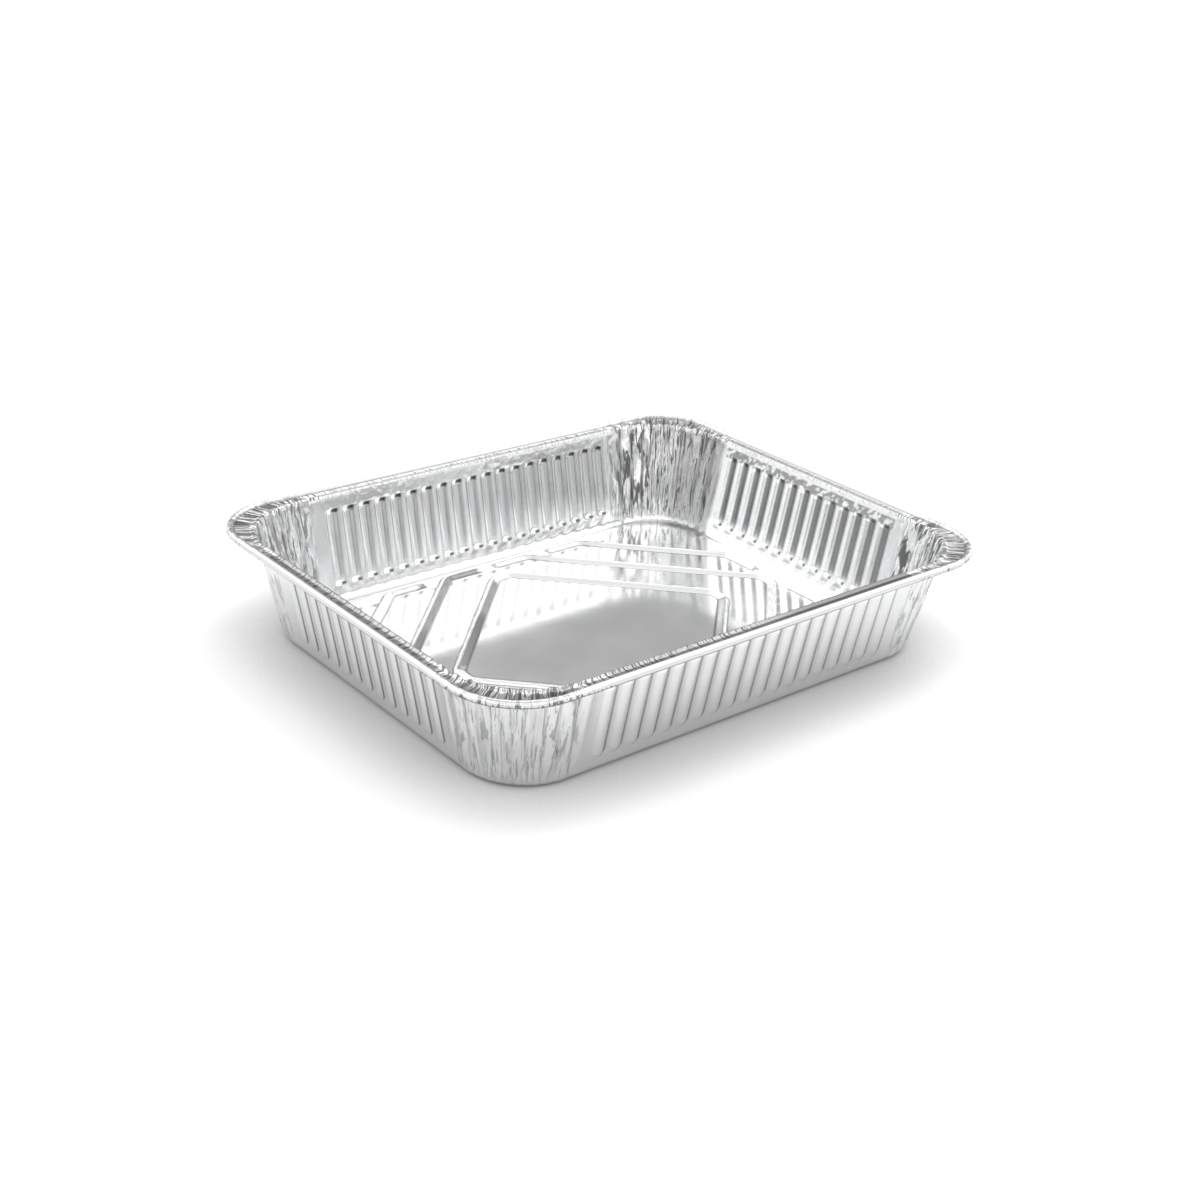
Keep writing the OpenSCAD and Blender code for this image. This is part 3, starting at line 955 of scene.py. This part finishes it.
def table_material():
    """White, with a painted shadow close to the pan where ambient occlusion darkens the colour, and lit up a
    little to the camera and in reflections.
    """
    mat = bpy.data.materials.new("table")
    mat.use_nodes = True
    n = Nodes(mat.node_tree)
    # painted contact shadow: ambient occlusion darkens the table's colour near the pan
    near = n.add("ShaderNodeAmbientOcclusion", Distance=0.06, samples=4)
    tone_with_painted_shade = n.ramp(near.outputs["AO"], (0.35, (0.38, 0.38, 0.38)), (0.86, (0.9, 0.9, 0.9)))
    white = n.add("ShaderNodeBsdfDiffuse")
    glow = n.add("ShaderNodeEmission")
    path = n.add("ShaderNodeLightPath")
    seen = n.math("MAXIMUM", path.outputs["Is Camera Ray"], path.outputs["Is Glossy Ray"])
    seen = n.math("MAXIMUM", seen, path.outputs["Is Transmission Ray"])
    n.link(tone_with_painted_shade, white.inputs["Color"])
    n.link(tone_with_painted_shade, glow.inputs["Color"])
    n.link(n.math("MULTIPLY", seen, TABLE_GLOW), glow.inputs["Strength"])
    both = n.add("ShaderNodeAddShader")
    n.link(white.outputs[0], both.inputs[0])
    n.link(glow.outputs[0], both.inputs[1])
    n.link(both.outputs[0], n.add("ShaderNodeOutputMaterial").inputs[0])
    return mat


def make_table():
    """A large plain white table that keeps the pan's soft shadow, deepened near the pan by a painted shadow
    in its colour.
    """
    mesh = bpy.data.meshes.new("table")
    n, r = 96, TABLE_RADIUS
    ring = [(r * math.cos(2 * math.pi * k / n), r * math.sin(2 * math.pi * k / n), 0.0) for k in range(n)]
    mesh.from_pydata(ring, [], [tuple(range(n))])
    mesh.materials.append(table_material())
    obj = bpy.data.objects.new("table", mesh)
    bpy.context.scene.collection.objects.link(obj)
    obj.location.z = -TABLE_DROP


def height_ramp(n, height, levels, top):
    """Grey by height, from levels in degrees, as a share of top."""
    ramp = n.add("ShaderNodeValToRGB")
    elements = ramp.color_ramp.elements
    while len(elements) > 1:
        elements.remove(elements[0])
    elements[0].position, elements[0].color = 0.0, (levels[0][1] / top,) * 3 + (1,)
    for degrees, v in levels[1:]:
        elements.new(sind(degrees)).color = (v / top,) * 3 + (1,)
    n.link(height, ramp.inputs[0])
    return ramp.outputs[0]


def make_world():
    """A white room that is brighter higher up, with a grey card on its side +x +y."""
    world = bpy.data.worlds.new("studio")
    bpy.context.scene.world = world
    world.use_nodes = True
    n = Nodes(world.node_tree)
    xyz = n.add("ShaderNodeSeparateXYZ")
    n.link(n.add("ShaderNodeTexCoord").outputs["Generated"], xyz.inputs[0])
    top = max(v for _, v in ROOM + CARD)
    toward = n.math("ADD", n.math("MULTIPLY", xyz.outputs["X"], CARD_TOWARD[0]),
                    n.math("MULTIPLY", xyz.outputs["Y"], CARD_TOWARD[1]))
    both = n.add("ShaderNodeMix", data_type="RGBA")
    n.link(n.step(toward, *CARD_EDGE), both.inputs["Factor"])
    n.link(height_ramp(n, xyz.outputs["Z"], ROOM, top), both.inputs[6])
    n.link(height_ramp(n, xyz.outputs["Z"], CARD, top), both.inputs[7])
    back = n.add("ShaderNodeBackground", Strength=top)
    n.link(both.outputs[2], back.inputs["Color"])
    n.link(back.outputs[0], n.add("ShaderNodeOutputWorld").inputs[0])


def make_lamp(name, place, aim, size, power):
    """A soft rectangular lamp that casts the shadow and isn't mirrored in the foil."""
    data = bpy.data.lights.new(name, "AREA")
    data.shape = "RECTANGLE"
    data.size, data.size_y = size
    data.energy = power
    obj = bpy.data.objects.new(name, data)
    bpy.context.scene.collection.objects.link(obj)
    obj.location = place
    obj.rotation_mode = "QUATERNION"
    obj.rotation_quaternion = (Vector(aim) - Vector(place)).to_track_quat("-Z", "Y")
    obj.visible_glossy = False


def make_camera():
    """The photograph's camera."""
    back = Vector((sind(AZIMUTH) * cosd(ELEVATION), -cosd(AZIMUTH) * cosd(ELEVATION), sind(ELEVATION)))
    right = Vector((cosd(AZIMUTH), sind(AZIMUTH), 0))
    up = back.cross(right)
    place = (back * CAMERA_PLACE[0] + right * CAMERA_PLACE[1] + up * CAMERA_PLACE[2]) * MM
    x = right * cosd(ROLL) + up * sind(ROLL)
    y = up * cosd(ROLL) - right * sind(ROLL)
    data = bpy.data.cameras.new("camera")
    data.sensor_width = 36.0
    data.lens = LENS
    data.clip_start, data.clip_end = 0.01, 40
    cam = bpy.data.objects.new("camera", data)
    bpy.context.scene.collection.objects.link(cam)
    cam.matrix_world = Matrix(((x.x, y.x, back.x, place.x), (x.y, y.y, back.y, place.y),
                               (x.z, y.z, back.z, place.z), (0, 0, 0, 1)))
    bpy.context.scene.camera = cam


foil = foil_material()
for piece in make_sheet():
    piece.data.materials.append(foil)
    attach(piece, "root")
    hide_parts("pan")
make_table()
make_world()
make_lamp("soft_key", (1.1, 0.15, 1.2), (0, 0, 0), (0.7, 0.7), 5)
make_camera()
bpy.context.scene.view_settings.view_transform = "Standard"
